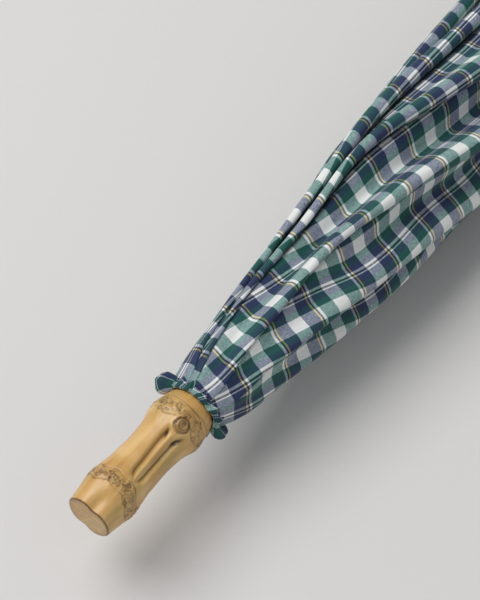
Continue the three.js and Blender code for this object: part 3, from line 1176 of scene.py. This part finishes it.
    def pattern(self, s: Array, across: Array, index: int) -> Array:
        """Map of a gore: the plaid's threads cross its crest at a small angle.

        Args:
            s: Millimetres from the crown.
            across: Millimetres from the crest, negative on the outer leaf.
            index: The gore's number.

        Returns:
            The map, in millimetres.
        """
        rng = np.random.default_rng(90 + index)
        skew = math.radians(9 + rng.uniform(-3, 3))
        v = across + curve(s, self.band) + 3.2 + rng.uniform(-1.5, 1.5)
        u = s + across * math.sin(skew) - self.first_band + rng.uniform(-2.5, 2.5)
        return np.stack([u, v], -1)

    def build(self, finishes: Finishes) -> None:
        """Makes the eight gores.

        Args:
            finishes: The umbrella's materials.
        """
        for index in range(FOLDS):
            points, uv = self.gore(index)
            made = surface(f"folded_gore_{index + 1}", points, uv=uv)
            dress(made, finishes.cloth)
            area = float(self.area(points))
            solidify(made, self.wall)
            place(made, "stick", "canopy_cloth", f"canopy_gore_{index + 1}")
            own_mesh(made)

    @staticmethod
    def area(points: Array) -> float:
        """Area of a grid of quads in square metres."""
        a, b, c, d = points[:-1, :-1], points[1:, :-1], points[1:, 1:], points[:-1, 1:]
        return 0.5 * np.linalg.norm(np.cross(c - a, d - b), axis=-1).sum()


# ---------------------------------------------------------------- open canopy


@dataclass
class OpenCanopy:
    """The cloth when open: eight gores stowed as strips along their ribs, which fan out.

    Distances along a gore are from the apex, where the lines of its two ribs meet.
    """

    facts: FrameFacts
    rows: int = 72
    columns: int = 40
    half: float = 1.5
    over: float = 2.3  # cloth above the rib's centre line
    first: float = 14.0
    seam: float = 0.35  # from the cloth's edge to the middle of the seam
    hollow: float = 0.075  # how far the hem curves in at its middle
    short: float = 13.0  # of the ribs' ends
    sag: float = 3.0
    wall: float = 0.3
    halvings: int = 48
    map_shift: tuple = (6.0, 3.0)

    def frame_of(self, index: int) -> tuple[Array, Array, Array, Array]:
        """The rib's directions at rest.

        Args:
            index: The rib's number, from 0.

        Returns:
            The apex, and unit vectors along the rib, across the gore and outward from its plane.
        """
        angle = self.facts.rib_azimuth(index)
        out = np.array([0, math.cos(angle), math.sin(angle)])
        side = np.array([0, -math.sin(angle), math.cos(angle)])
        f = self.facts
        c = math.sin(f.opening) * math.sin(STEP)
        s = math.sin(f.opening) * math.cos(f.opening) * (1 - math.cos(STEP))
        size = math.hypot(c, s)
        normal = (c * out + s * side) / size
        across = (c * side - s * out) / size
        apex = np.array([f.pivot_x - f.pivot_r / math.sin(f.opening), 0, 0]) + f.pivot_r * out
        return apex, np.array([1.0, 0, 0]), across, normal

    def strip(self, index: int) -> tuple[Array, Array]:
        """Points at rest and map of a stowed gore.

        A point's place across the strip sets how far round the apex it turns: the gore's angle
        times smoothstep, so it is solved for the angle that the point has in the flat gore.

        Args:
            index: The rib's number.

        Returns:
            Points in metres and the map in millimetres.
        """
        f = self.facts
        apex, ahead, across, normal = self.frame_of(index)
        reach = f.rib_length + f.pivot_r / math.sin(f.opening) - self.short
        t = np.linspace(0, 1, self.rows)[:, None]
        p = np.linspace(0, 1, self.columns)[None]
        hem = reach * (1 - self.hollow * (1 - (2 * p - 1) ** 2))
        rho = self.first + (hem - self.first) * t
        bow = f.rib_radius(rho - f.pivot_r / math.sin(f.opening)) - f.pivot_r
        sag = self.sag * np.sin(math.pi * p) * smooth(rho, 30, 300)
        height = bow + self.over - sag
        lean = math.sin(f.opening) * math.cos(f.opening) * (1 - math.cos(STEP))
        lean /= math.sin(f.opening) * math.sin(STEP)
        edge = (lean * height - self.seam) / rho
        target = -edge + (f.gore_angle + 2 * edge) * p
        low, high = np.full(rho.shape, -3 * self.half), np.full(rho.shape, 3 * self.half)
        for _ in range(self.halvings):
            y = (low + high) / 2
            w = smooth(y, -self.half, self.half)
            short = w * f.gore_angle + np.arctan2(y, rho) < target
            low, high = np.where(short, y, low), np.where(short, high, y)
        y = (low + high) / 2
        x = np.sqrt(np.maximum(rho**2 - y**2, 0))
        points = apex + x[..., None] * ahead + y[..., None] * across + height[..., None] * normal
        middle = target - f.gore_angle / 2
        uv = np.stack([rho * np.cos(middle), rho * np.sin(middle)], -1) + self.map_shift
        return points * MM, uv

    def build(self, finishes: Finishes) -> None:
        """Makes the eight gores as strips stowed along their ribs.

        Args:
            finishes: The umbrella's materials.
        """
        for index in range(FOLDS):
            points, uv = self.strip(index)
            made = surface(f"gore_{index + 1}_cloth", points, uv=uv)
            dress(made, finishes.cloth)
            solidify(made, self.wall)
            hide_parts(f"gore_edge_{index + 1}")
            apex, _, across, _ = self.frame_of(index)
            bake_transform(made)
            LOG.info("%s: %d faces", made.name, len(made.data.polygons))


# ---------------------------------------------------------------- rosette


@dataclass
class Rosette:
    """The gathered ring of cloth round the ferrule's shoulder, in puffs of several sizes."""

    inner: float = 11.0
    outer: float = 13.4
    front: float = 66.2
    back: float = 70.2
    sides: int = 480
    loop: int = 56
    crease: float = 0.4
    bite: float = 0.3
    # The plaid's map round the roll, where it starts, and round the stick, in millimetres
    roll_map: float = 30.0
    map_start: float = 4.0
    round_map: float = 178.4
    # Azimuth, half width in radians, how far each puff stands out, forward and back, in millimetres
    puffs: tuple = (
        (math.radians(27), 0.20, 6.2, 4.0, 0.8),
        (math.radians(62), 0.17, 0.9, 0.4, 2.2),
        (math.radians(84), 0.09, 1.3, 0.0, 6.2),
        (math.radians(112), 0.20, 0.2, 0.0, 0.8),
        (math.radians(150), 0.12, 0.9, 0.7, 2.2),
        (math.radians(173), 0.10, 0.7, 0.3, 3.0),
        (math.radians(207), 0.19, 5.2, 2.4, 3.0),
        (math.radians(246), 0.20, 2.0, 1.6, 2.0),
        (math.radians(290), 0.22, 2.8, 1.8, 2.4),
        (math.radians(334), 0.20, 1.8, 1.4, 2.0),
    )

    def build(self, finishes: Finishes) -> None:
        """Makes the ring: an oval roll of cloth swept round the stick, with puffs and creases.

        Each puff adds exp(-(turn / half) ** 3) to the roll's height and length. The roll is
        bitten in along one line, so that it looks folded over, and fine waves crease it.

        Args:
            finishes: The umbrella's materials.
        """
        angle = np.linspace(0, TAU, self.sides, endpoint=False)[:, None]
        t = np.linspace(0, TAU, self.loop, endpoint=False)[None]
        out, ahead, behind = np.zeros_like(angle), np.zeros_like(angle), np.zeros_like(angle)
        for azimuth, half, stand, forward, rear in self.puffs:
            puff = bell(np.abs(wrapped(angle - azimuth)), half, 3)
            out, ahead, behind = out + stand * puff, ahead + forward * puff, behind + rear * puff
        creases = self.crease * waves(angle * 9 + 2.2 * np.sin(t), 73, 6, 1.0)
        half_r = (self.outer - self.inner) / 2 + out / 2
        middle = (self.outer + self.inner) / 2 + out / 2
        half_x = (self.back - self.front) / 2 + (ahead + behind) / 2
        centre = (self.back + self.front) / 2 + (behind - ahead) / 2
        swing = 0.12 * np.sin(t) + 0.05 * waves(angle * 4, 75, 4)
        bite = 1 - self.bite * bell(t - 2.4, 0.35) * (1 + 0.6 * waves(angle * 5, 76, 4))
        fold = 0.3 * waves(3 * t + 7 * angle, 77, 3, 1.0)
        radius = middle + half_r * np.cos(t) * bite + (creases + fold) * (0.6 + 0.4 * np.cos(t))
        x = centre + half_x * np.sin(t) * bite + 0.6 * creases + 0.5 * waves(angle, 74, 6, 3.0)
        radius = np.maximum(radius, self.inner + 0.25 * np.sin(t))
        points = around(x, radius, angle + swing)
        across = np.linspace(0, self.roll_map, self.loop + 1) + self.map_start
        round_map = np.linspace(0, self.round_map, self.sides + 1)
        uv = np.stack(np.broadcast_arrays(across[None], round_map[:, None]), -1)
        made = surface("gathered_rosette", points, around_u=True, around_v=True, uv=uv)
        dress(outward(made), finishes.cloth)
        place(made, "stick", "canopy_cloth", "crown_rosette")


# ---------------------------------------------------------------- stick, fittings and handle


@dataclass
class Handle:
    """The bamboo grip: straight, with two nodes, a groove along it and a rounded cut end."""

    rows: int = 220
    sides: int = 144
    nodes: tuple = (38.0, 94.0)  # from the grip's start
    slant: float = 0.8
    # Each node's swelling, sheath line, second swelling and stain: height or depth, and width
    swelling: tuple = (1.35, 1.9)
    line: tuple = (0.45, 0.45)
    second: tuple = (0.4, 1.2)
    stain: tuple = (0.55, 0.5)
    line_at: float = -1.9
    second_at: float = 3.2
    groove_azimuth: float = 2.2
    groove: tuple = (0.55, 3.0)
    groove_radius: float = 10.5

    def build(self, finishes: Finishes) -> None:
        """Makes the grip: a curve of radii, plus a bell for each swelling, less one for each line.

        Args:
            finishes: The umbrella's materials.
        """
        low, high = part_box("handle")
        start, end = low[0] / MM, high[0] / MM
        middle = start + (end - start) / 2
        x = np.linspace(start, end, self.rows)[:, None]
        angle = np.linspace(0, TAU, self.sides, endpoint=False)[None]
        x, angle = np.broadcast_arrays(x, angle)
        radii = (
            (start, 9.7),
            (start + 6, 10.4),
            (middle, 10.7),
            (end - 8, 11.3),
            (end - 2, 11.2),
            (end, 10.0),
        )
        height, stain = np.zeros_like(x), np.zeros_like(x)
        for node in self.nodes:
            away = x - (start + node + self.slant * np.sin(angle))
            height += self.swelling[0] * bell(away, self.swelling[1])
            height -= self.line[0] * bell(away - self.line_at, self.line[1])
            height += self.second[0] * bell(away - self.second_at, self.second[1])
            dark = self.stain[0] * bell(away - self.line_at, self.stain[1])
            stain = np.maximum(stain, dark)
        groove = wrapped(angle - self.groove_azimuth) * self.groove_radius
        fade = smooth(x, start + self.nodes[0] + 2, start + self.nodes[0] + 12)
        height -= self.groove[0] * bell(groove, self.groove[1]) * fade
        radius = curve(x, radii) + height + 0.08 * waves(angle, 55, 4)
        points = around(x, radius, angle)
        stains = {"stain": stain}
        made = surface("bamboo_grip", points, around_v=True, ends=Ends.FLAT, attributes=stains)
        dress(outward(made), finishes.handle)
        place(made, "stick", "handle_bamboo", "handle")


@dataclass
class Strap:
    """The tie strap, a doubled band of the canopy's cloth with stitched edges, and its snap."""

    facts: FrameFacts
    rows: int = 70
    columns: int = 29
    half_width: float = 9.0
    wall: float = 1.1
    above: float = 1.6  # the folded cloth
    stitch_at: float = 0.86  # share of the half width
    stitch_width: float = 0.05
    stitch_pitch: float = 2.4
    stitch_depth: float = 0.25
    map_across: float = 12.0
    open_above: float = 4.2  # the ribs, when the frame is open
    band_kept: float = 0.06
    snap_kept: float = 0.35
    snap_seat: float = 0.9
    snap_profile: tuple = (
        (0, 0),
        (0, 4.6),
        (0.9, 5.0),
        (1.7, 4.2),
        (1.9, 2.6),
        (1.5, 1.2),
        (1.5, 0),
    )

    def build(self, finishes: Finishes) -> None:
        """Makes the band and its snap.

        Args:
            finishes: The umbrella's materials.
        """
        angle = self.facts.rib_azimuth(1)
        out = np.array([0, math.cos(angle), math.sin(angle)])
        side = np.array([0, -math.sin(angle), math.cos(angle)])
        self.band(finishes, out, side)
        self.snap(finishes, out, side)

    def band(self, finishes: Finishes, out: Array, side: Array) -> None:
        """Makes the band: it follows the folded cloth's girth, with a rounded end and stitches.

        Args:
            finishes: The umbrella's materials.
            out: Direction away from the stick.
            side: Direction across the band.
        """
        low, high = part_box("tie_strap")
        u = np.linspace(0, 1, self.rows)[:, None]
        v = np.linspace(-1, 1, self.columns)[None]
        x = low[0] / MM + (high[0] - low[0]) / MM * u
        width = self.half_width * np.sqrt(np.clip(1 - smooth(u, 0.93, 1.04) * 0.9, 0, 1))
        girth = curve(x - self.facts.pivot_x, FoldedCanopy(self.facts).girth)
        row = bell(np.abs(v) - self.stitch_at, self.stitch_width)
        stitch = row * (0.6 + 0.4 * np.sin(x * TAU / self.stitch_pitch))
        lie = girth + self.above + 0.5 * waves(u * 5, 8, 4) - self.stitch_depth * stitch
        along = x[..., None] * np.array([1.0, 0, 0])
        points = (along + lie[..., None] * out + (width * v)[..., None] * side) * MM
        across = self.half_width * v + self.map_across
        uv = np.stack(np.broadcast_arrays(x, across), -1)
        made = surface("strap_band", points, uv=uv)
        dress(made, finishes.cloth)
        solidify(made, self.wall)
        place(made, "rib_2", "canopy_cloth", "tie_strap")
        self.sink(made, out)

    def snap(self, finishes: Finishes, out: Array, side: Array) -> None:
        """Makes the snap's cap, turned and set on the band's end.

        Args:
            finishes: The umbrella's materials.
            out: Direction away from the stick.
            side: Direction across the band.
        """
        low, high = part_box("strap_snap")
        centre = (np.array(low) + np.array(high)) / 2
        height = float(centre @ out) / MM - self.snap_seat
        made = turned("snap_cap", rounded(list(self.snap_profile), 0.5), 48)
        basis = Matrix.Identity(4)
        for row in range(3):
            basis[row][0], basis[row][1] = out[row], side[row]
            basis[row][2] = 0.0 if row else -1.0
        made.data.transform(basis)
        seat = Vector(out * height * MM) + Vector((centre[0], 0, 0))
        made.data.transform(Matrix.Translation(seat))
        dress(outward(made), finishes.brass)
        place(made, "rib_2", "collar_brass", "strap_snap")
        self.sink(made, out)

    def sink(self, made: bpy.types.Object, out: Array) -> None:
        """Works out an anchor on the rib, which is not used, and gives a piece its own copy of its mesh.

        Args:
            made: The piece.
            out: Direction away from the stick.
        """
        low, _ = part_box("tie_strap")
        anchor = tuple(out * self.anchor(low[0]))
        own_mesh(made)

    def anchor(self, x: float) -> float:
        """Radius of the cloth over the rib: the rib's own, and a little more.

        Args:
            x: Metres along the stick.

        Returns:
            The radius in metres.
        """
        s = np.array([x / MM - self.facts.pivot_x])
        return float(self.facts.rib_radius(s)[0] + self.open_above) * MM


@dataclass
class Fittings:
    """The stick, its collar, the rib tips and the frame's metal and moulded pieces."""

    facts: FrameFacts
    stick_radius: float = 5.5
    collar_bore: float = 5.9
    # From the collar's front or back: millimetres along it, and the radius there
    collar_front: tuple = ((0, 8.2), (1.2, 9.1), (2.6, 8.9), (3.4, 9.6))
    collar_back: tuple = ((1.8, 9.8), (1.0, 9.3), (0, 9.6))
    tip_radius: float = 2.15
    tip_rows: int = 26

    def collar(self, finishes: Finishes) -> None:
        """Makes the turned ring, with two fine beads.

        Args:
            finishes: The umbrella's materials.
        """
        low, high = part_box("handle_collar")
        a, b = low[0] / MM, high[0] / MM
        front = [(a + x, radius) for x, radius in self.collar_front]
        back = [(b - x, radius) for x, radius in self.collar_back]
        bore = self.collar_bore
        corners = [(a, bore), *front, *back, (b, bore), (a, bore)]
        made = turned("collar_ring", rounded(corners, 0.5)[:-1])
        dress(made, finishes.brass)
        place(made, "stick", "collar_brass", "handle_collar")

    def tips(self, finishes: Finishes) -> None:
        """Makes a drop-shaped bead on each rib's end, as a power of a sine turned about the rib.

        Args:
            finishes: The umbrella's materials.
        """
        low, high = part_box("rib_tip_1")
        a, b = low[0] / MM, high[0] / MM
        t = np.linspace(0, 1, self.tip_rows)
        drop = np.sin(math.pi * t**0.62) ** 0.62 * (0.62 + 0.38 * smooth(t, 0.1, 0.6))
        profile = np.stack([a + (b - a) * t, self.tip_radius * drop], 1)
        profile[[0, -1], 1] = 0
        centre = self.facts.rib_radius(np.array([a - self.facts.pivot_x]))[0] * MM
        for index in range(FOLDS):
            angle = self.facts.rib_azimuth(index)
            made = turned(f"tip_bead_{index + 1}", profile, 32)
            shift = (0, centre * math.cos(angle), centre * math.sin(angle))
            made.data.transform(Matrix.Translation(shift))
            dress(made, finishes.nickel)
            place(made, f"rib_{index + 1}", "plated_steel", f"rib_tip_{index + 1}")

    def stick(self, finishes: Finishes) -> None:
        """Makes the stick as a smooth rod; the catches' slots are covered by their leaves.

        Args:
            finishes: The umbrella's materials.
        """
        low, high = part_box("shaft")
        a, b = low[0] / MM, high[0] / MM
        radius = self.stick_radius
        corners = [(a, 0), (a, radius), (b, radius), (b, 0)]
        made = turned("wooden_stick", rounded(corners, 0.6), 64)
        dress(made, finishes.stick)
        place(made, "stick", "stick_wood", "shaft")

    def cad_pieces(self, finishes: Finishes) -> None:
        """Gives finishes to the pieces whose exact shape comes from the frame.

        Args:
            finishes: The umbrella's materials.
        """
        by_slot = {
            "frame_steel": finishes.enamel,
            "plated_steel": finishes.nickel,
            "moulding": finishes.moulding,
            "collar_brass": finishes.brass,
            "stick_wood": finishes.stick,
        }
        slots = {part["node"]: part["material_slot"] for part in frame["record"]["subparts"]}
        for name, made in frame["nodes"].items():
            material = by_slot.get(slots[name])
            if material is not None:
                for slot in made.material_slots:
                    slot.material = material

    def build(self, finishes: Finishes) -> None:
        """Makes every fitting.

        Args:
            finishes: The umbrella's materials.
        """
        self.stick(finishes)
        Handle().build(finishes)
        self.collar(finishes)
        self.tips(finishes)
        Strap(self.facts).build(finishes)
        self.cad_pieces(finishes)


# ---------------------------------------------------------------- studio


@dataclass
class Studio:
    """The floor, the soft lights and the camera."""

    facts: FrameFacts
    heading: float = math.radians(52.5)  # of the camera's right, from the stick
    elevation: float = math.radians(52.0)
    eye: tuple[float, float, float] = (-231.3, -254.3, 574.9)  # millimetres
    lens: float = 99.0
    lit: tuple = (0.12, 0, 0)  # the point that the lights face, in metres
    # Each light's watts, side in metres, distance, and shares of right, level and down
    key: tuple = (55, 2.1, 2.6, 0.47, -0.22, 1.0)
    fill: tuple = (3, 1.8, 2.2, -0.5, 0.5, 0.8)
    sky: tuple = (0.93, 0.95, 1.0, 1)
    sky_strength: float = 0.31
    floor_half: float = 3.0  # metres
    floor_gap: float = 0.0002

    def level(self) -> Vector:
        """The level direction in which the camera looks."""
        return Vector((math.sin(self.heading), math.cos(self.heading), 0))

    def axes(self) -> tuple[Vector, Vector, Vector]:
        """The camera's directions, from its heading and elevation.

        Returns:
            Right, up and forward.
        """
        right = Vector((math.cos(self.heading), -math.sin(self.heading), 0))
        down = Vector((0, 0, math.sin(self.elevation)))
        ahead = self.level() * math.cos(self.elevation) - down
        return right, right.cross(ahead), ahead

    def camera(self) -> None:
        """A long lens that looks down along the umbrella from its tip."""
        right, up, ahead = self.axes()
        data = bpy.data.cameras.new("camera")
        data.sensor_fit, data.sensor_width = "AUTO", 36.0
        data.lens = self.lens
        data.clip_start, data.clip_end = 0.05, 20
        made = bpy.data.objects.new("camera", data)
        bpy.context.collection.objects.link(made)
        turn = Matrix((right, up, -ahead)).transposed().to_4x4()
        made.matrix_world = Matrix.Translation(Vector(self.eye) * MM) @ turn
        bpy.context.scene.camera = made

    def area(self, name: str, light: tuple) -> None:
        """Adds a square light that faces the umbrella's front half.

        Args:
            name: The light's name.
            light: Its values, in the order given above.
        """
        power, size, away, to_right, to_level, to_down = light
        right, _, _ = self.axes()
        down = Vector((0, 0, -1))
        toward = right * to_right + self.level() * to_level + down * to_down
        data = bpy.data.lights.new(name, "AREA")
        data.energy, data.size = power, size
        made = bpy.data.objects.new(name, data)
        bpy.context.collection.objects.link(made)
        made.location = Vector(self.lit) - toward.normalized() * away
        made.rotation_mode = "QUATERNION"
        made.rotation_quaternion = toward.to_track_quat("-Z", "Y")

    def build(self, finishes: Finishes) -> None:
        """Sets the camera, lights, world, colour management and floor.

        Args:
            finishes: The umbrella's materials.
        """
        self.camera()
        self.area("key", self.key)
        self.area("fill", self.fill)
        world = bpy.data.worlds.new("studio")
        world.use_nodes = True
        inputs = world.node_tree.nodes["Background"].inputs
        inputs[0].default_value = self.sky
        inputs[1].default_value = self.sky_strength
        bpy.context.scene.world = world
        bpy.context.scene.view_settings.view_transform = "Standard"
        side = self.floor_half
        z = self.facts.floor_z * MM - self.floor_gap
        near = [(-side, -side, z), (side, -side, z)]
        far = [(-side, side, z), (side, side, z)]
        floor = surface("floor", np.array([near, far]))
        dress(floor, finishes.floor)
        floor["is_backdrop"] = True


def main() -> None:
    """Builds the umbrella's looks round the frame."""
    logging.basicConfig(level=logging.INFO, format="%(name)s: %(message)s")
    facts = FrameFacts.read()
    finishes = Finishes()
    Studio(facts).build(finishes)
    Ferrule().build(finishes)
    Rosette().build(finishes)
    FoldedCanopy(facts).build(finishes)
    OpenCanopy(facts).build(finishes)
    Fittings(facts).build(finishes)


if __name__ == "__main__":
    main()
